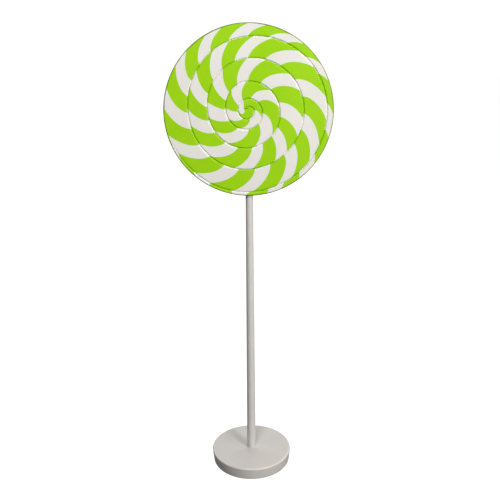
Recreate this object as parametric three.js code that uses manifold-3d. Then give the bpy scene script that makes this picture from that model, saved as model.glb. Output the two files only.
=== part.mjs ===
// Giant swirl lollipop on a stand: a round painted head with a spiral groove on both faces, a slightly
// tapered pole, and a round weighted base.
// Millimetres, +Z up. The origin is the middle of the base's underside, and the front looks along -Y.

import * as THREE from 'three';
import { mergeVertices } from 'three/addons/utils/BufferGeometryUtils.js';
import Module from 'manifold-3d';

const wasm = await Module();
wasm.setup();

// Driving dimensions
const HEAD_DIAMETER = 600;
const HEAD_THICKNESS = 50;
const HEAD_EDGE_RADIUS = 5;
const HEAD_CENTRE_HEIGHT = 1417;

// The groove runs from the middle to the left of the rim, and narrows to a point at both ends. Its
// angles are degrees clockwise, seen from the front, from the ray that points left.
const GROOVE_WIDTH = 9;
const GROOVE_FLOOR_WIDTH = 2;
const GROOVE_DEPTH = 3.5;
const GROOVE_START = 60;
const GROOVE_END = 1788;
const GROOVE_TAPER = 48;

// Radius of the groove's middle on five rays a turn, one row for each turn from the middle out. The
// first ray is a fifth of a turn on. The coil was laid by hand, so it grows unevenly and wanders.
const RAYS_PER_TURN = 5;
const GROOVE_RADII = [
  19, 20, 18, 26, 37,
  46, 46, 50, 63, 80,
  103, 107, 114, 130, 145,
  177, 193, 194, 206, 214,
  247, 272, 277, 288, 290,
];

const POLE_FOOT_DIAMETER = 35;
const POLE_TOP_DIAMETER = 27;
const POLE_IN_HEAD = 50;
const POLE_IN_BASE = 30;

const BASE_TOP_DIAMETER = 320;
const BASE_BOTTOM_DIAMETER = 310;
const BASE_THICKNESS = 50;
const BASE_TOP_EDGE_RADIUS = 6;
const BASE_BOTTOM_EDGE_RADIUS = 2.5;
const FOOT_FILLET_RADIUS = 4;

// Clearance between a socket and what sits in it
const GAP = 0.3;

// Fineness of the curved surfaces: sides of the round pieces, and segments in the quarter circle of a
// rounded edge. The groove has a section at each side of the head.
const HEAD_SIDES = 60;
const POLE_SIDES = 32;
const BASE_SIDES = 72;
const EDGE_SEGMENTS = 3;

const HEAD_RADIUS = HEAD_DIAMETER / 2;
const HEAD_BOTTOM = HEAD_CENTRE_HEIGHT - HEAD_RADIUS;
const POLE_BOTTOM = BASE_THICKNESS - POLE_IN_BASE;
const POLE_TOP = HEAD_BOTTOM + POLE_IN_HEAD;
const POLE_LENGTH = POLE_TOP - POLE_BOTTOM;
const STEP_ANGLE = 360 / HEAD_SIDES;

const headPaint = new THREE.MeshStandardMaterial({ color: 0x9ad81c, roughness: 0.5, metalness: 0 });
const standPaint = new THREE.MeshStandardMaterial({ color: 0xc6c2ba, roughness: 0.55, metalness: 0 });

// The tapered pole's radius at a height above the floor
function poleRadius(height) {
  const along = (height - POLE_BOTTOM) / POLE_LENGTH;
  return THREE.MathUtils.lerp(POLE_FOOT_DIAMETER, POLE_TOP_DIAMETER, along) / 2;
}

// Points of a quarter circle about (x, y) that starts at an angle in degrees and turns by plus or
// minus 90 of them
function quarterArc(x, y, radius, start, turn) {
  const points = [];
  for (let i = 0; i <= EDGE_SEGMENTS; i++) {
    const angle = THREE.MathUtils.degToRad(start + (turn * i) / EDGE_SEGMENTS);
    points.push(new THREE.Vector2(x + radius * Math.cos(angle), y + radius * Math.sin(angle)));
  }
  return points;
}

function toSolid(geometry) {
  const bare = geometry.clone();
  bare.deleteAttribute('normal');
  bare.deleteAttribute('uv');
  const merged = mergeVertices(bare);
  return new wasm.Manifold(new wasm.Mesh({
    numProp: 3,
    vertProperties: new Float32Array(merged.attributes.position.array),
    triVerts: new Uint32Array(merged.index.array),
  }));
}

function toGeometry(solid) {
  const mesh = solid.getMesh();
  const geometry = new THREE.BufferGeometry();
  geometry.setAttribute('position', new THREE.BufferAttribute(new Float32Array(mesh.vertProperties), 3));
  geometry.setIndex(new THREE.BufferAttribute(new Uint32Array(mesh.triVerts), 1));
  geometry.computeVertexNormals();
  return geometry;
}

// Radius of the groove's middle at an angle, on a smooth curve through the radii on the rays
const rayAngles = GROOVE_RADII.map((radius, ray) => ((ray + 1) * 360) / RAYS_PER_TURN);
const grooveCurve = new THREE.CubicInterpolant(rayAngles, GROOVE_RADII, 1);

// The groove's section at an angle, as [radius, height above the face] of its inner lip, the two
// sides of its floor and its outer lip
function grooveSection(angle) {
  const radius = grooveCurve.evaluate(angle)[0];
  const fullness = Math.min((angle - GROOVE_START) / GROOVE_TAPER, (GROOVE_END - angle) / GROOVE_TAPER, 1);
  const lip = (fullness * GROOVE_WIDTH) / 2;
  const floor = (fullness * GROOVE_FLOOR_WIDTH) / 2;
  const bottom = -fullness * GROOVE_DEPTH;
  return [[radius - lip, 0], [radius - floor, bottom], [radius + floor, bottom], [radius + lip, 0]];
}

// The head's slab as one closed mesh. Each face is a fan round its middle, the groove, and the land
// between one turn of the groove and the next or the rim. The side is -1 on the front face, +1 on the
// back one. Corners run anticlockwise, seen from the front, on the front face and the rim.
function headSlab() {
  const positions = [];
  const faces = [];

  const addPoint = (angle, radius, y) => {
    const direction = Math.PI - THREE.MathUtils.degToRad(angle);
    positions.push(radius * Math.cos(direction), y, radius * Math.sin(direction));
    return positions.length / 3 - 1;
  };
  const addTriangle = (side, a, b, c) => {
    const isFlat = a === b || b === c || c === a;
    if (!isFlat) faces.push(...(side < 0 ? [a, b, c] : [a, c, b]));
  };
  const addQuad = (side, a, b, c, d) => {
    addTriangle(side, a, b, c);
    addTriangle(side, a, c, d);
  };

  // A section's four points are one and the same at the groove's ends
  const addSection = (side, angle) => {
    const points = grooveSection(angle);
    const y = ([, height]) => side * (HEAD_THICKNESS / 2 + height);
    if (angle > GROOVE_START && angle < GROOVE_END) {
      return points.map((point) => addPoint(angle, point[0], y(point)));
    }
    return Array(points.length).fill(addPoint(angle, points[0][0], y(points[0])));
  };

  const addFace = (side, rim) => {
    const sections = [];
    for (let angle = GROOVE_START; angle <= GROOVE_END; angle += STEP_ANGLE) {
      sections.push(addSection(side, angle));
    }
    const last = sections.length - 1;
    const outward = (step) => (
      step + HEAD_SIDES <= last ? sections[step + HEAD_SIDES][0] : rim[step % HEAD_SIDES]
    );
    for (let step = 0; step < last; step++) {
      const here = sections[step];
      const next = sections[step + 1];
      for (let k = 0; k < 3; k++) addQuad(side, here[k], next[k], next[k + 1], here[k + 1]);
      addQuad(side, here[3], next[3], outward(step + 1), outward(step));
    }

    // The fan round the middle, whose last triangle is cut in two by the groove's inner end
    const middle = addPoint(0, 0, (side * HEAD_THICKNESS) / 2);
    const tip = sections[0][0];
    const turnEnd = HEAD_SIDES - 1;
    for (let step = 0; step < turnEnd; step++) {
      addTriangle(side, middle, sections[step + 1][0], sections[step][0]);
    }
    addTriangle(side, middle, tip, sections[turnEnd][0]);
    addTriangle(side, tip, sections[turnEnd + 1][0], sections[turnEnd][0]);

    // The corner between the groove's outer end and the rim
    addTriangle(side, sections[last][0], rim[(last + 1) % HEAD_SIDES], rim[last % HEAD_SIDES]);
  };

  const flat = HEAD_RADIUS - HEAD_EDGE_RADIUS;
  const rimHalf = HEAD_THICKNESS / 2 - HEAD_EDGE_RADIUS;
  const rimProfile = [
    ...quarterArc(flat, -rimHalf, HEAD_EDGE_RADIUS, -90, 90),
    ...quarterArc(flat, rimHalf, HEAD_EDGE_RADIUS, 0, 90),
  ];
  const rays = Array.from({ length: HEAD_SIDES }, (_, ray) => GROOVE_START + ray * STEP_ANGLE);
  const rings = rimProfile.map((point) => rays.map((angle) => addPoint(angle, point.x, point.y)));
  for (let k = 0; k < rings.length - 1; k++) {
    for (let ray = 0; ray < HEAD_SIDES; ray++) {
      const next = (ray + 1) % HEAD_SIDES;
      addQuad(-1, rings[k][ray], rings[k][next], rings[k + 1][next], rings[k + 1][ray]);
    }
  }
  addFace(-1, rings[0]);
  addFace(1, rings[rings.length - 1]);

  const geometry = new THREE.BufferGeometry();
  geometry.setAttribute('position', new THREE.BufferAttribute(new Float32Array(positions), 3));
  geometry.setIndex(faces);
  return toSolid(geometry);
}

// Socket for the pole, open downwards at the head's rim, in the head's own frame
function headSocket() {
  const overshoot = 5;
  const bottom = HEAD_BOTTOM - overshoot;
  const top = POLE_TOP + GAP;
  const geometry = new THREE.CylinderGeometry(
    poleRadius(top) + GAP,
    poleRadius(bottom) + GAP,
    top - bottom,
    POLE_SIDES,
  );
  geometry.rotateX(Math.PI / 2);
  geometry.translate(0, 0, (top + bottom) / 2 - HEAD_CENTRE_HEIGHT);
  return toSolid(geometry);
}

// Head: a thick round slab with softly rounded edges, standing on its rim and facing -Y
function makeHead() {
  const head = new THREE.Mesh(toGeometry(headSlab().subtract(headSocket())), headPaint);
  head.name = 'head';
  head.position.z = HEAD_CENTRE_HEIGHT;
  return head;
}

// Pole: round, a little thicker at its foot, with its ends set into the head and the base
function makePole() {
  const geometry = new THREE.CylinderGeometry(
    POLE_TOP_DIAMETER / 2,
    POLE_FOOT_DIAMETER / 2,
    POLE_LENGTH,
    POLE_SIDES,
  );
  const pole = new THREE.Mesh(geometry, standPaint);
  pole.name = 'pole';
  pole.rotation.x = Math.PI / 2;
  pole.position.z = POLE_BOTTOM + POLE_LENGTH / 2;
  return pole;
}

// Base: a round plinth that narrows a little towards the floor, with rounded edges, a blind socket for
// the pole, and a small fillet round the socket's mouth
function makeBase() {
  const topRadius = BASE_TOP_DIAMETER / 2;
  const bottomRadius = BASE_BOTTOM_DIAMETER / 2;
  const top = BASE_TOP_EDGE_RADIUS;
  const bottom = BASE_BOTTOM_EDGE_RADIUS;
  const fillet = FOOT_FILLET_RADIUS;
  const socket = POLE_FOOT_DIAMETER / 2 + GAP;
  const profile = [
    new THREE.Vector2(0, 0),
    ...quarterArc(bottomRadius - bottom, bottom, bottom, -90, 90),
    ...quarterArc(topRadius - top, BASE_THICKNESS - top, top, 0, 90),
    ...quarterArc(socket + fillet, BASE_THICKNESS + fillet, fillet, -90, -90),
    new THREE.Vector2(socket, POLE_BOTTOM - GAP),
    new THREE.Vector2(0, POLE_BOTTOM - GAP),
  ];
  const base = new THREE.Mesh(new THREE.LatheGeometry(profile, BASE_SIDES), standPaint);
  base.name = 'base';
  base.rotation.x = Math.PI / 2;
  return base;
}

const group = new THREE.Group();
group.add(makeHead(), makePole(), makeBase());

export default group;
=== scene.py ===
# Giant swirl lollipop on a stand: a round lime and white head with a spiral groove, on a tapered
# grey pole that stands in a round weighted base. Metres and degrees, +Z up, and the front looks
# along -Y.

import math

import bpy
import numpy as np
from mathutils import Matrix, Vector


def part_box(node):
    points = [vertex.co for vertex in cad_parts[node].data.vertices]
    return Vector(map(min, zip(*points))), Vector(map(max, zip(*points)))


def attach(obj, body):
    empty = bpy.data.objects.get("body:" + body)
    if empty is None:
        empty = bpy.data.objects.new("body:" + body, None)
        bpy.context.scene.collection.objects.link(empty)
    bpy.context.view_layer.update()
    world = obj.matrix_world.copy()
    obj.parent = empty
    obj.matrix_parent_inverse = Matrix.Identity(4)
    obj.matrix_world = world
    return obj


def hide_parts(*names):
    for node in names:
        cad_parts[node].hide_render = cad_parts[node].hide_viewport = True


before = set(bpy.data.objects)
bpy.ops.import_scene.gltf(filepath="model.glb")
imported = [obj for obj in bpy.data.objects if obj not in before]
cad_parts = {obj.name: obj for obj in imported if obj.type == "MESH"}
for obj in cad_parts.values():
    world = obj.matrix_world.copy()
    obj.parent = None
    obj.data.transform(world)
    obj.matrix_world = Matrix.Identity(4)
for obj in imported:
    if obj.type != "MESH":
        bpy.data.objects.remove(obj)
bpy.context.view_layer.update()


# Base
# A round plinth of painted metal, heavy enough to hold the head up. It narrows a little towards the
# floor, has a soft lip at the top, and holds the pole in a socket with a fillet of filler round it.

BASE_LEAN = 6.9
BASE_TOP_EDGE_RADIUS = 0.006
BASE_BOTTOM_EDGE_RADIUS = 0.0025
FOOT_FILLET_RADIUS = 0.004
BASE_SIDES = 180
ROUNDING_SEGMENTS = 8
STAND_SHARP_ANGLE = 40

# GAP is left between the pole and its socket. Places closer together than MEETS count as one.
GAP = 0.0003
MEETS = 1e-5

BASE_GREYS = ((0.660, 0.633, 0.600, 1), (0.682, 0.643, 0.596, 1))
BASE_WEAR_HEIGHT = 0.03
TINT_SIZE = 0.15
MOTTLE_SIZE = 0.09
SCUFF_SIZE = 0.012
DIMPLE_SIZE = 0.006
SPECKLE_SIZE = 0.0035
PEBBLE_SIZE = 0.0016
COAT_ROUGHNESS = 0.38


def new_piece(name):
    """Names the primitive that was just added, and puts its place into its mesh."""
    piece = bpy.context.object
    piece.name = name
    piece.data.name = name
    bpy.ops.object.transform_apply(location=True, rotation=True, scale=True)
    return piece


def choose(piece, kind, test):
    """Opens a piece in edit mode, with only the edges or faces selected whose middle passes a test."""
    mesh = piece.data
    bpy.ops.object.mode_set(mode="EDIT")
    bpy.ops.mesh.select_mode(type=kind)
    bpy.ops.mesh.select_all(action="DESELECT")
    bpy.ops.object.mode_set(mode="OBJECT")
    if kind == "FACE":
        for face in mesh.polygons:
            face.select = test(face.center)
    else:
        for edge in mesh.edges:
            start, end = (mesh.vertices[i].co for i in edge.vertices)
            edge.select = test((start + end) / 2)
    bpy.ops.object.mode_set(mode="EDIT")


def smooth(piece, sharp_angle):
    """Shades a piece smooth, but for edges sharper than an angle, and keeps its flat faces flat."""
    bpy.ops.object.mode_set(mode="OBJECT")
    bpy.ops.object.select_all(action="DESELECT")
    piece.select_set(True)
    bpy.context.view_layer.objects.active = piece
    bpy.ops.object.shade_smooth_by_angle(angle=math.radians(sharp_angle))
    even = piece.modifiers.new("flat faces stay flat", "WEIGHTED_NORMAL")
    even.keep_sharp = True
    bpy.ops.object.modifier_apply(modifier=even.name)


class Signal:
    """An output of a shader node, or a bare node tree to begin from. Arithmetic on an output adds
    Math nodes."""

    def __init__(self, tree, socket=None):
        self.tree = tree
        self.socket = socket

    def node(self, kind, settings, inputs, output=0):
        """One output of a new node, with its settings, and the values or signals of its inputs."""
        made = self.tree.nodes.new(kind)
        for name, value in settings.items():
            setattr(made, name, value)
        for name, value in inputs.items():
            self.feed(made.inputs[name], value)
        return Signal(self.tree, made.outputs[output])

    def feed(self, socket, value):
        if isinstance(value, Signal):
            self.tree.links.new(value.socket, socket)
        else:
            socket.default_value = value

    def maths(self, operation, *others):
        values = enumerate((self, *others))
        return self.node("ShaderNodeMath", {"operation": operation}, dict(values))

    def __add__(self, other):
        return self.maths("ADD", other)

    def __sub__(self, other):
        return self.maths("SUBTRACT", other)

    def __rsub__(self, other):
        return self * -1 + other

    def __mul__(self, other):
        return self.maths("MULTIPLY", other)

    __radd__ = __add__
    __rmul__ = __mul__

    def axes(self):
        """The x, y and z of a place."""
        parts = self.node("ShaderNodeSeparateXYZ", {}, {"Vector": self}).socket.node
        return [Signal(self.tree, axis) for axis in parts.outputs]

    def noise(self, size, detail=3.0, squeeze=(1, 1, 1)):
        """Cloudy noise round 0 at a place, with lumps about as large as a size, and finer ones in
        them for more detail. A squeeze makes the lumps so many times shorter along x, y and z."""
        place = self.node(
            "ShaderNodeMapping", {}, {"Vector": self, "Scale": [s / size for s in squeeze]}
        )
        cloud = self.node(
            "ShaderNodeTexNoise", {}, {"Vector": place, "Scale": 1.0, "Detail": detail}, "Fac"
        )
        return cloud - 0.5

    def ramp(self, start, end):
        """0 at a start value and before it, 1 at an end value and past it, and smooth between them."""
        return self.node(
            "ShaderNodeMapRange",
            {"interpolation_type": "SMOOTHSTEP"},
            {"Value": self, "From Min": start, "From Max": end},
        )

    def between(self, low, high):
        """A mix of two colours, with this signal as the share of the second one."""
        return self.node(
            "ShaderNodeMix", {"data_type": "RGBA"}, {0: self, 6: low, 7: high}, output=2
        )

    def shaded(self, factor):
        """This colour made lighter or darker by a factor."""
        return self.node(
            "ShaderNodeVectorMath", {"operation": "SCALE"}, {"Vector": self, "Scale": factor}
        )

    def bump(self, strength, distance):
        """The way that a surface faces when it rises by a distance where this signal is 1."""
        relief = {"Strength": strength, "Distance": distance, "Height": self}
        return self.node("ShaderNodeBump", {}, relief)


def new_finish(name, **constants):
    """A material, its shader, and the place on the object as a signal."""
    finish = bpy.data.materials.new(name)
    finish.use_nodes = True
    tree = finish.node_tree
    shader = tree.nodes["Principled BSDF"]
    for socket, value in constants.items():
        shader.inputs[socket.replace("_", " ")].default_value = value
    here = Signal(tree).node("ShaderNodeTexCoord", {}, {}, "Object")
    return finish, shader, here


def stand_paint(name, greys, wear_height, lip=None):
    """Warm grey powder coat: faintly mottled, finely pebbled, and scuffed a little near the floor. A
    lip, given by its inner radius and its lowest height, is glossier and carries a painted highlight."""
    finish, shader, here = new_finish(name, IOR=1.5)
    x, y, height = here.axes()
    mottle = here.noise(MOTTLE_SIZE, 4.0)
    speckle = here.noise(SPECKLE_SIZE, 2.0)
    low_down = 1 - height.ramp(0.0, wear_height)
    scuffs = here.noise(SCUFF_SIZE, 5.0, (1, 1, 3)).ramp(0.10, 0.17) * low_down
    lip_highlight_and_gloss = 0.0
    if lip:
        # The painted highlight and the gloss fade in over 3 mm, round the lip's inner edge and from its
        # lowest height up
        lip_radius, lip_height = lip
        outside = (x * x + y * y).maths("SQRT").ramp(lip_radius - 0.002, lip_radius + 0.001)
        lip_highlight_and_gloss = outside * height.ramp(lip_height - 0.001, lip_height + 0.002)
    # On the lip the tone is lighter, a painted highlight
    tone = 1 + mottle * 0.07 + speckle * 0.05 - scuffs * 0.10 + lip_highlight_and_gloss * 0.12
    cool_to_warm = here.noise(TINT_SIZE).ramp(-0.2, 0.2)
    grey = cool_to_warm.between(*greys)
    here.feed(shader.inputs["Base Color"], grey.shaded(tone))
    roughness = COAT_ROUGHNESS + mottle * 0.12 + scuffs * 0.2 - lip_highlight_and_gloss * 0.10
    here.feed(shader.inputs["Roughness"], roughness)
    pebbles = here.noise(PEBBLE_SIZE, 1.0) + here.noise(DIMPLE_SIZE, 1.0) * 1.5
    here.feed(shader.inputs["Normal"], pebbles.bump(strength=0.35, distance=0.00012))
    return finish


_, base_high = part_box("base")
base_radius = base_high.x
base_top = base_high.z - FOOT_FILLET_RADIUS
lean = math.radians(BASE_LEAN)
lip_corner = base_radius + BASE_TOP_EDGE_RADIUS * (1 - math.tan(math.pi / 4 - lean / 2))
foot_corner = lip_corner - base_top * math.tan(lean)
pole_low, pole_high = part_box("pole")
pole_foot_radius = pole_high.x
socket_radius = pole_foot_radius + GAP

bpy.ops.object.select_all(action="DESELECT")
bpy.ops.mesh.primitive_cone_add(
    vertices=BASE_SIDES,
    radius1=foot_corner,
    radius2=lip_corner,
    depth=base_top,
    location=(0, 0, base_top / 2),
)
base = new_piece("base_plinth")

choose(base, "EDGE", lambda p: abs(p.z - base_top) < MEETS and p.xy.length > base_radius / 2)
bpy.ops.mesh.bevel(offset=BASE_TOP_EDGE_RADIUS, segments=ROUNDING_SEGMENTS, affect="EDGES")
choose(base, "EDGE", lambda p: abs(p.z) < MEETS and p.xy.length > base_radius / 2)
bpy.ops.mesh.bevel(offset=BASE_BOTTOM_EDGE_RADIUS, segments=ROUNDING_SEGMENTS // 2, affect="EDGES")

# The fillet rises in a hollow curve from the flat top to the socket's mouth
top_radius = lip_corner - BASE_TOP_EDGE_RADIUS
fillet_radius = socket_radius + FOOT_FILLET_RADIUS
choose(base, "FACE", lambda p: abs(p.z - base_top) < MEETS and p.xy.length < MEETS)
bpy.ops.mesh.inset(thickness=top_radius - fillet_radius)
radius_now = fillet_radius
height_now = 0.0
for step in range(1, ROUNDING_SEGMENTS + 1):
    turn = math.pi / 2 * step / ROUNDING_SEGMENTS
    radius_next = fillet_radius - FOOT_FILLET_RADIUS * math.sin(turn)
    height_next = FOOT_FILLET_RADIUS * (1 - math.cos(turn))
    bpy.ops.mesh.extrude_region_move(
        TRANSFORM_OT_translate={"value": (0, 0, height_next - height_now)}
    )
    bpy.ops.transform.resize(value=(radius_next / radius_now, radius_next / radius_now, 1))
    radius_now = radius_next
    height_now = height_next
bpy.ops.mesh.extrude_region_move(
    TRANSFORM_OT_translate={"value": (0, 0, pole_low.z - GAP - base_top - FOOT_FILLET_RADIUS)}
)
smooth(base, STAND_SHARP_ANGLE)
base_lip = (top_radius, base_top - BASE_TOP_EDGE_RADIUS)
base.data.materials.append(stand_paint("base_powder_coat", BASE_GREYS, BASE_WEAR_HEIGHT, base_lip))
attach(base, "root")
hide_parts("base")


# Pole
# A round tube of painted steel, a little thicker at its foot. It is pushed up into a hole in the
# head's rim and down into the base's socket, so both of its ends are out of sight.

POLE_TOP_RADIUS = 0.0135
POLE_SIDES = 96
POLE_RINGS = 24
POLE_END_CHAMFER = 0.001
POLE_END_SEGMENTS = 2
# The pole's greys are a little cooler than the base's, and a little lighter as painted light for the
# light that falls on the pole
POLE_GREYS_PAINTED_LIGHTER = ((0.673, 0.655, 0.628, 1), (0.695, 0.666, 0.624, 1))
POLE_WEAR_HEIGHT = 0.12

pole_length = pole_high.z - pole_low.z
pole_middle = (pole_low.z + pole_high.z) / 2
bpy.ops.object.select_all(action="DESELECT")
bpy.ops.mesh.primitive_cone_add(
    vertices=POLE_SIDES,
    radius1=pole_foot_radius,
    radius2=POLE_TOP_RADIUS,
    depth=pole_length,
    location=(0, 0, pole_middle),
)
pole = new_piece("pole_tube")

# Both ends are chamfered, and rings are cut between them so that the long faces are shorter
pole_end = pole_length / 2 - POLE_END_CHAMFER
choose(pole, "EDGE", lambda p: abs(p.z - pole_middle) > pole_end and p.xy.length > POLE_TOP_RADIUS / 2)
bpy.ops.mesh.bevel(offset=POLE_END_CHAMFER, segments=POLE_END_SEGMENTS, affect="EDGES")
choose(pole, "EDGE", lambda p: abs(p.z - pole_middle) < MEETS)
bpy.ops.mesh.subdivide_edgering(number_cuts=POLE_RINGS, interpolation="LINEAR", smoothness=0)
smooth(pole, STAND_SHARP_ANGLE)
pole.data.materials.append(stand_paint("pole_powder_coat", POLE_GREYS_PAINTED_LIGHTER, POLE_WEAR_HEIGHT))
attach(pole, "root")
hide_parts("pole")


# Head
# A thick round slab of light hard foam with softly rounded edges, painted in lime and white. A
# groove is cut into both of its faces as a spiral, and the stripes between the groove's turns are
# sprayed on one coil after another.

# Angles along the coil are degrees clockwise, seen from the front, from the ray that points left.
# The groove's radius and the lean of the stripes are given on five rays a turn, a row for each turn.
GROOVE_HALF_WIDTH = 0.0047
GROOVE_DEPTH = 0.0038
GROOVE_START = 35
GROOVE_END = 1787.5
GROOVE_TAPER = 30
RAY_ANGLE = 72
GROOVE_RADII = [
    0.019, 0.020, 0.018, 0.026, 0.037,
    0.046, 0.046, 0.050, 0.063, 0.080,
    0.103, 0.107, 0.114, 0.130, 0.145,
    0.177, 0.193, 0.194, 0.206, 0.214,
    0.247, 0.272, 0.277, 0.288, 0.290,
]
CENTRE_PINCH = 0.4
HEAD_EDGE_RADIUS = 0.005
HEAD_SHARP_ANGLE = 60
STEP_ANGLE = 2.5
STEPS_PER_TURN = round(360 / STEP_ANGLE)
WALL_ROWS = 6
LAND_ROWS = 10
CENTRE_ROWS = 5

head_low, head_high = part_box("head")
head_radius = head_high.x
head_middle = (head_low + head_high) / 2
head_half = head_high.y
flat_radius = head_radius - HEAD_EDGE_RADIUS


def along_rays(values, angle):
    """A smooth curve through values on the rays, the first of them one ray on from the left."""
    v = np.array([2 * values[0] - values[1], *values, 2 * values[-1] - values[-2]])
    place = np.clip(np.asarray(angle) / RAY_ANGLE - 1, 0, len(values) - 1)
    ray = np.minimum(place.astype(int), len(values) - 2)
    t = place - ray
    a, b, c, d = v[ray], v[ray + 1], v[ray + 2], v[ray + 3]
    bend = (2 * a - 5 * b + 4 * c - d) * t**2 + (3 * b - a - 3 * c + d) * t**3
    return b + ((c - a) * t + bend) / 2


def fullness(angle):
    """Share of the groove's width and depth, which is nothing at its ends."""
    from_start = (angle - GROOVE_START) / GROOVE_TAPER
    to_end = (GROOVE_END - angle) / GROOVE_TAPER
    return np.clip(np.minimum(from_start, to_end), 0, 1)


def coil_edge(angle):
    """Radius of the coil's inner edge: the groove's middle, which comes from near the head's centre
    and drifts out to the rim at its end. Before the groove starts, the edge is pinched inwards."""
    groove = along_rays(GROOVE_RADII, angle)
    drift = np.clip((angle - GROOVE_END + GROOVE_TAPER) / GROOVE_TAPER, 0, 1) ** 2
    edge = groove + (flat_radius - groove) * drift
    before = np.clip((angle - GROOVE_START + 360) / 360, 0, 1)
    pinch = 1 - CENTRE_PINCH * np.sin(math.pi * before)
    return np.where(angle < GROOVE_START, along_rays(GROOVE_RADII, GROOVE_START) * pinch, edge)


def outer_edge(angle):
    """Radius of the coil's outer edge: the groove a turn later, or the rim."""
    return np.where(angle < GROOVE_END - 360, coil_edge(angle + 360), flat_radius)


def on_head(angle, radius, y):
    """Places at angles along the coil, and at distances from the head's centre and middle plane."""
    direction = math.pi - np.radians(angle)
    return np.stack(
        [radius * np.cos(direction), y, head_middle.z + radius * np.sin(direction)], axis=-1
    )


def read_all(parts, what, width=1, kind=float):
    """A number, or a row of them, from each vertex, face or face corner of a mesh."""
    values = np.empty(len(parts) * width, kind)
    parts.foreach_get(what, values)
    return values if width == 1 else values.reshape(-1, width)


def wound_grid(name, columns, rows, place):
    """A flat grid whose corners are moved to the place for their column and row."""
    bpy.ops.object.select_all(action="DESELECT")
    bpy.ops.mesh.primitive_grid_add(x_subdivisions=columns, y_subdivisions=rows, size=1)
    piece = new_piece(name)
    flat = read_all(piece.data.vertices, "co", 3)
    column, row = np.rint((flat[:, :2].T + 0.5) * [[columns], [rows]])
    piece.data.vertices.foreach_set("co", place(column, row).ravel())
    return piece


def coil_place(column, row):
    """The coil as one long strip: a groove wall, the flat land, and the next turn's groove wall."""
    angle = GROOVE_START - 360 + column * STEP_ANGLE
    inner, outer = coil_edge(angle), outer_edge(angle)
    inner_full, outer_full = fullness(angle), fullness(angle + 360)
    from_inner = np.minimum(row, WALL_ROWS) / WALL_ROWS
    from_outer = np.minimum(2 * WALL_ROWS + LAND_ROWS - row, WALL_ROWS) / WALL_ROWS
    land = np.clip((row - WALL_ROWS) / LAND_ROWS, 0, 1)
    land_start = inner + GROOVE_HALF_WIDTH * inner_full * from_inner
    land_end = outer - GROOVE_HALF_WIDTH * outer_full * from_outer
    radius = land_start + (land_end - land_start) * land
    inner_depth = inner_full * (1 + np.cos(math.pi * from_inner)) / 2
    outer_depth = outer_full * (1 + np.cos(math.pi * from_outer)) / 2
    depth = GROOVE_DEPTH * np.maximum(inner_depth, outer_depth)
    return on_head(angle, radius, depth - head_half)


def centre_place(column, row):
    """The round middle inside the coil's inner end."""
    angle = GROOVE_START - 360 + column * STEP_ANGLE
    return on_head(angle, coil_edge(angle) * row / CENTRE_ROWS, np.full(len(row), -head_half))


def rim_place(column, row):
    """The rim: a rounded edge, the side and the other rounded edge."""
    turn = np.clip(row, 0, ROUNDING_SEGMENTS) + np.clip(row - ROUNDING_SEGMENTS - 1, 0, None)
    turn = turn / ROUNDING_SEGMENTS * math.pi / 2
    radius = flat_radius + HEAD_EDGE_RADIUS * np.sin(turn)
    side = np.where(row <= ROUNDING_SEGMENTS, -1, 1) * (head_half - HEAD_EDGE_RADIUS)
    return on_head(column * STEP_ANGLE, radius, side - HEAD_EDGE_RADIUS * np.cos(turn))


coil_steps = round((GROOVE_END - GROOVE_START + 360) / STEP_ANGLE)
head = wound_grid("head_slab", coil_steps, 2 * WALL_ROWS + LAND_ROWS, coil_place)
centre = wound_grid("head_centre", STEPS_PER_TURN, CENTRE_ROWS, centre_place)
rim = wound_grid("head_rim", STEPS_PER_TURN, 2 * ROUNDING_SEGMENTS + 1, rim_place)

# The front face is copied, mirrored to the back, and all of it is welded into one closed skin
bpy.ops.object.select_all(action="DESELECT")
centre.select_set(True)
head.select_set(True)
bpy.context.view_layer.objects.active = head
bpy.ops.object.join()
choose(head, "FACE", lambda p: True)
bpy.ops.mesh.duplicate()
bpy.ops.transform.resize(value=(1, -1, 1), center_override=(0, 0, 0))
bpy.ops.object.mode_set(mode="OBJECT")
rim.select_set(True)
bpy.ops.object.join()
choose(head, "FACE", lambda p: True)
bpy.ops.mesh.remove_doubles(threshold=MEETS)
bpy.ops.mesh.dissolve_degenerate(threshold=MEETS)
bpy.ops.mesh.normals_make_consistent(inside=False)
smooth(head, HEAD_SHARP_ANGLE)


# Stripes: where each green one starts, in degrees along the coil at its inner edge. On the way to
# the outer edge a stripe leans on by the degrees given for its ray.
STRIPE_STARTS = [
    45, 260,
    363, 424, 493, 590, 666,
    727, 766, 809, 855, 908, 946, 985, 1029, 1069,
    1105, 1139, 1170, 1205, 1244, 1278, 1310, 1344, 1376, 1408,
    1440, 1469, 1498, 1530, 1560, 1592, 1633, 1670, 1696, 1723, 1754, 1784,
]
STRIPE_LEANS = [
    30, 32, 40, 38, 8,
    24, 40, 32, 32, 8,
    18, 23, 16, 22, 14,
    17, 22, 20, 17, 16,
    13, 7, 3, -1, -8,
]
GREEN_SHARE = 0.52
GREEN_SHARE_OUTWARD = 0.06
LEAN_CURVE = 1.5
LEAN_ROUNDS = 25
TONGUE_ANGLE = 100
TONGUE_END = (-0.023, 0.004)
TONGUE_END_RADIUS = 0.009
TONGUE_EDGE = -0.0172


def depth_in_tongue(x, z):
    """How far a place is inside the white tongue that hooks into the green middle."""
    in_end = TONGUE_END_RADIUS - np.hypot(x - TONGUE_END[0], z - TONGUE_END[1])
    in_shaft = np.minimum(TONGUE_EDGE - x, z - TONGUE_END[1])
    return np.maximum(in_end, in_shaft)


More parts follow.
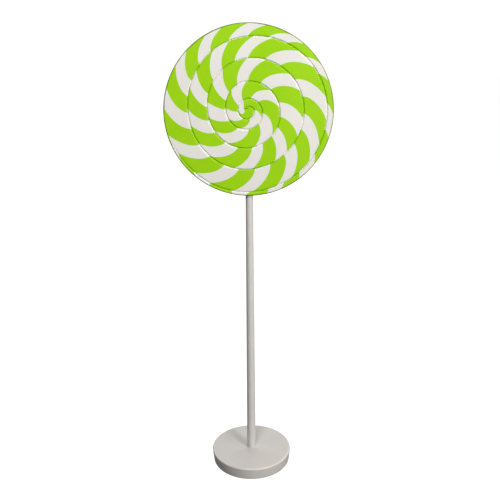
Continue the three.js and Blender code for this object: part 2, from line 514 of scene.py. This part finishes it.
def depth_in_green(angle, across, radius):
    """How far a place on the coil is inside a green stripe, and less than 0 inside a white one."""
    # A stripe's lean depends on where it starts, so the start is found by going halfway again and again
    curve = across**LEAN_CURVE
    start_angle = angle.copy()
    for _ in range(LEAN_ROUNDS):
        leant = angle - along_rays(STRIPE_LEANS, start_angle) * curve
        start_angle = (start_angle + leant) / 2
    starts = np.array(STRIPE_STARTS + [2 * STRIPE_STARTS[-1] - STRIPE_STARTS[-2]])
    stripe = np.clip(np.searchsorted(starts, start_angle, side="right") - 1, 0, len(starts) - 2)
    pitch = starts[stripe + 1] - starts[stripe]
    into = start_angle - starts[stripe]
    green = pitch * (GREEN_SHARE + GREEN_SHARE_OUTWARD * across)
    inside = np.minimum(into, green - into)
    outside = -np.minimum(into - green, pitch - into)
    return np.radians(np.where(into < green, inside, outside)) * radius


def clockwise(place):
    """Angle of a place round the head's centre."""
    return np.degrees(math.pi - np.arctan2(place[:, 2], place[:, 0])) % 360


def mark_stripes(piece):
    """Keeps on each corner of each face how deep it lies in a green stripe."""
    mesh = piece.data
    vertices = read_all(mesh.vertices, "co", 3) - head_middle
    corner = vertices[read_all(mesh.loops, "vertex_index", kind=int)]
    middles = read_all(mesh.polygons, "center", 3) - head_middle
    middle = np.repeat(middles, read_all(mesh.polygons, "loop_total", kind=int), axis=0)

    # The face's middle says on which turn of the coil its corners lie
    middle_radius = np.minimum(np.hypot(middle[:, 0], middle[:, 2]), flat_radius - MEETS)
    middle_angle = np.full(len(middle), float(GROOVE_START - 360))
    for turn in range((GROOVE_START - 360) // 360, math.ceil(GROOVE_END / 360)):
        angle = clockwise(middle) + 360 * turn
        on_coil = (angle >= GROOVE_START - 360) & (angle <= GROOVE_END)
        inside = (coil_edge(angle) <= middle_radius) & (middle_radius < outer_edge(angle))
        middle_angle = np.where(on_coil & inside, angle, middle_angle)
    offset = (clockwise(corner) - clockwise(middle) + 180) % 360 - 180
    angle = middle_angle + offset
    radius = np.hypot(corner[:, 0], corner[:, 2])
    inner, outer = coil_edge(angle), outer_edge(angle)
    across = np.clip((radius - inner) / np.maximum(outer - inner, MEETS), 0, 1)
    depth = np.where(
        middle_angle < TONGUE_ANGLE,
        -depth_in_tongue(corner[:, 0], corner[:, 2]),
        depth_in_green(angle, across, radius),
    )
    mark = mesh.attributes.new("depth_in_green", "FLOAT", "CORNER")
    mark.data.foreach_set("value", depth)


# The paint's colours, how its edges waver and where they lie, and the sizes of what varies in it
LIMES = ((0.325, 0.650, 0.0020, 1), (0.350, 0.675, 0.0040, 1))
WHITES = ((0.800, 0.775, 0.722, 1), (0.820, 0.798, 0.748, 1))
# Down in the groove the paint mixes towards these as painted shade: the lime darker, the white hardly
# changed
GROOVE_SHADE_WHITE = (0.820, 0.790, 0.735, 1)
GROOVE_SHADE_LIME = (0.195, 0.460, 0.0010, 1)
# The rim's duller olive lime is partly its own paint and partly painted shade on the rounded edge
RIM_LIME_WITH_PAINTED_SHADE = (0.200, 0.285, 0.0125, 1)
# Underneath, the rim is darkened further as painted shade
RIM_LIME_SHADE_UNDERNEATH = (0.085, 0.115, 0.0080, 1)
MASK_SOFTNESS = 0.0003
MASK_WAVER = 0.0012
MASK_WAVER_SIZE = 0.03
MASK_FRAY = 0.0004
MASK_FRAY_SIZE = 0.004
RIM_PAINT_STARTS = 0.0004
RIM_PAINT_FULL = 0.0022
RIM_WAVER = 0.005
RIM_WAVER_SIZE = 0.05
SHADE_UNDERNEATH_STARTS = -0.21
SHADE_UNDERNEATH_FULL = -0.29
GROOVE_SHADE_AND_GLOSS_STARTS = 0.0006
CLOUD_SIZE = 0.11
BLOTCH_SIZE = 0.03
GROOVE_SHADE_SIZE = 0.02
GRAIN_SIZE = 0.003
PEEL_SIZE = 0.0022
RIPPLE_SIZE = 0.010
SATIN_ROUGHNESS = 0.46


def head_paint():
    """Satin lime and white paint, masked by hand. Painted shade darkens the lime down in the glossier
    groove, and the rim is a duller lime all round, partly painted shade, with the darkest underneath."""
    finish, shader, here = new_finish("head_satin_paint", IOR=1.5, Specular_IOR_Level=0.25)
    depth = here.node("ShaderNodeAttribute", {"attribute_name": "depth_in_green"}, {}, "Fac")
    waver = here.noise(MASK_WAVER_SIZE, 2.0) * MASK_WAVER
    fray = here.noise(MASK_FRAY_SIZE, 2.0) * MASK_FRAY
    green_mask = (depth + waver + fray).ramp(-MASK_SOFTNESS, MASK_SOFTNESS)
    clouds = here.noise(CLOUD_SIZE, 4.0)
    speckle = here.noise(GRAIN_SIZE, 2.0)
    cloudy = clouds.ramp(-0.25, 0.25)
    faces = green_mask.between(cloudy.between(*WHITES), cloudy.between(*LIMES))

    to_centre = here.node(
        "ShaderNodeVectorMath", {"operation": "SUBTRACT"}, {0: here, 1: head_middle}
    )
    x, y, z = to_centre.axes()
    radius = (x * x + z * z).maths("SQRT")
    uneven_radius = radius + here.noise(RIM_WAVER_SIZE, 3.0) * RIM_WAVER
    rim_mask = uneven_radius.ramp(flat_radius + RIM_PAINT_STARTS, flat_radius + RIM_PAINT_FULL)
    # Painted shade darkens the rim towards the bottom
    painted_shade_underneath = z.ramp(SHADE_UNDERNEATH_STARTS, SHADE_UNDERNEATH_FULL)
    paint = rim_mask.between(faces, painted_shade_underneath.between(RIM_LIME_WITH_PAINTED_SHADE, RIM_LIME_SHADE_UNDERNEATH))
    tone = 1 + speckle * 0.03 + here.noise(BLOTCH_SIZE, 3.0) * 0.03

    on_face = 1 - radius.ramp(flat_radius - 0.001, flat_radius)
    below_face = head_half - y.maths("ABSOLUTE")
    in_groove = below_face.ramp(GROOVE_SHADE_AND_GLOSS_STARTS, GROOVE_DEPTH) * on_face
    # Down in the groove the paint is darkened unevenly, a painted shade
    groove_shade = green_mask.between(GROOVE_SHADE_WHITE, GROOVE_SHADE_LIME)
    groove_shade_share = in_groove * (0.50 + here.noise(GROOVE_SHADE_SIZE, 4.0) * 0.8)
    here.feed(shader.inputs["Base Color"], groove_shade_share.between(paint.shaded(tone), groove_shade))
    glossy = in_groove * green_mask
    roughness = SATIN_ROUGHNESS + clouds * 0.10 - glossy * 0.20
    here.feed(shader.inputs["Roughness"], roughness)
    peel = here.noise(PEEL_SIZE, 1.0) + here.noise(RIPPLE_SIZE, 1.0) * 1.2 + green_mask * 0.8
    here.feed(shader.inputs["Normal"], peel.bump(strength=0.30, distance=0.00015))
    return finish


mark_stripes(head)
head.data.materials.append(head_paint())
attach(head, "root")
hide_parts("head")


# Studio
# A plain white floor and background. A soft lamp stands low in front to the right, and one hangs
# higher in front to the left. A wide one fills from the right, and two wide ones light the back.

FLOOR_SIZE = 60
FLOOR_DROP = 0.0002
FLOOR_GREY = (0.22, 0.22, 0.22, 1)
WHITE = (1, 1, 1, 1)
SKY_LIGHT = 0.03
LIT_PLACE = Vector((0, 0, 1.0))


def add_lamp(name, size, distance, azimuth, elevation, power):
    """A round soft lamp that looks at the middle of the object from degrees round it and above it."""
    lamp = bpy.data.lights.new(name, "AREA")
    lamp.shape = "DISK"
    lamp.size = size
    lamp.energy = power
    across, above = math.radians(azimuth), math.radians(elevation)
    out = Vector((math.sin(across), -math.cos(across), math.tan(above))).normalized()
    holder = bpy.data.objects.new(name, lamp)
    bpy.context.scene.collection.objects.link(holder)
    holder.location = LIT_PLACE + out * distance
    holder.rotation_euler = out.to_track_quat("Z", "Y").to_euler()


add_lamp("front_lamp", size=1.0, distance=3.7, azimuth=37, elevation=15, power=53)
add_lamp("high_lamp", size=1.0, distance=3.7, azimuth=-13, elevation=49, power=60)
add_lamp("side_lamp", size=3.8, distance=6.0, azimuth=49, elevation=18, power=130)
add_lamp("back_right_lamp", size=6.0, distance=6.0, azimuth=150, elevation=30, power=118)
add_lamp("back_left_lamp", size=6.0, distance=6.0, azimuth=210, elevation=30, power=118)

# The camera sees the floor and the sky as white, but they throw only a little light on the object
bpy.ops.object.select_all(action="DESELECT")
bpy.ops.mesh.primitive_plane_add(size=FLOOR_SIZE, location=(0, 0, -FLOOR_DROP))
floor = new_piece("floor")
floor_finish, floor_shader, floor_here = new_finish(
    "floor_white", Base_Color=FLOOR_GREY, Roughness=0.9, Emission_Color=WHITE
)
floor_seen = floor_here.node("ShaderNodeLightPath", {}, {}, "Is Camera Ray")
floor_seen.feed(floor_shader.inputs["Emission Strength"], floor_seen)
floor.data.materials.append(floor_finish)

sky = bpy.data.worlds.new("studio")
sky.use_nodes = True
sky_light = sky.node_tree.nodes["Background"]
sky_seen = Signal(sky.node_tree).node("ShaderNodeLightPath", {}, {}, "Is Camera Ray")
sky_light.inputs["Color"].default_value = WHITE
sky_seen.feed(sky_light.inputs["Strength"], SKY_LIGHT + sky_seen)
bpy.context.scene.world = sky
bpy.context.scene.view_settings.view_transform = "Standard"


# Camera
# It stands at eye height in front of the head, and looks down the pole. Its lens and the width of
# its sensor are in millimetres.

CAMERA_PLACE = (-0.003, -2.407, 1.654)
CAMERA_DOWN = 17.33
CAMERA_YAW = -0.09
CAMERA_ROLL = -0.48
CAMERA_LENS = 48.07
CAMERA_SENSOR = 36
CAMERA_REACH = 200

camera = bpy.data.objects.new("camera", bpy.data.cameras.new("camera"))
bpy.context.scene.collection.objects.link(camera)
camera.data.sensor_width = CAMERA_SENSOR
camera.data.lens = CAMERA_LENS
camera.data.clip_end = CAMERA_REACH
aim = Matrix.Rotation(math.radians(CAMERA_YAW), 3, "Z")
tilt = Matrix.Rotation(math.radians(90 - CAMERA_DOWN), 3, "X")
roll = Matrix.Rotation(math.radians(CAMERA_ROLL), 3, "Z")
camera.rotation_euler = (aim @ tilt @ roll).to_euler()
camera.location = CAMERA_PLACE
bpy.context.scene.camera = camera
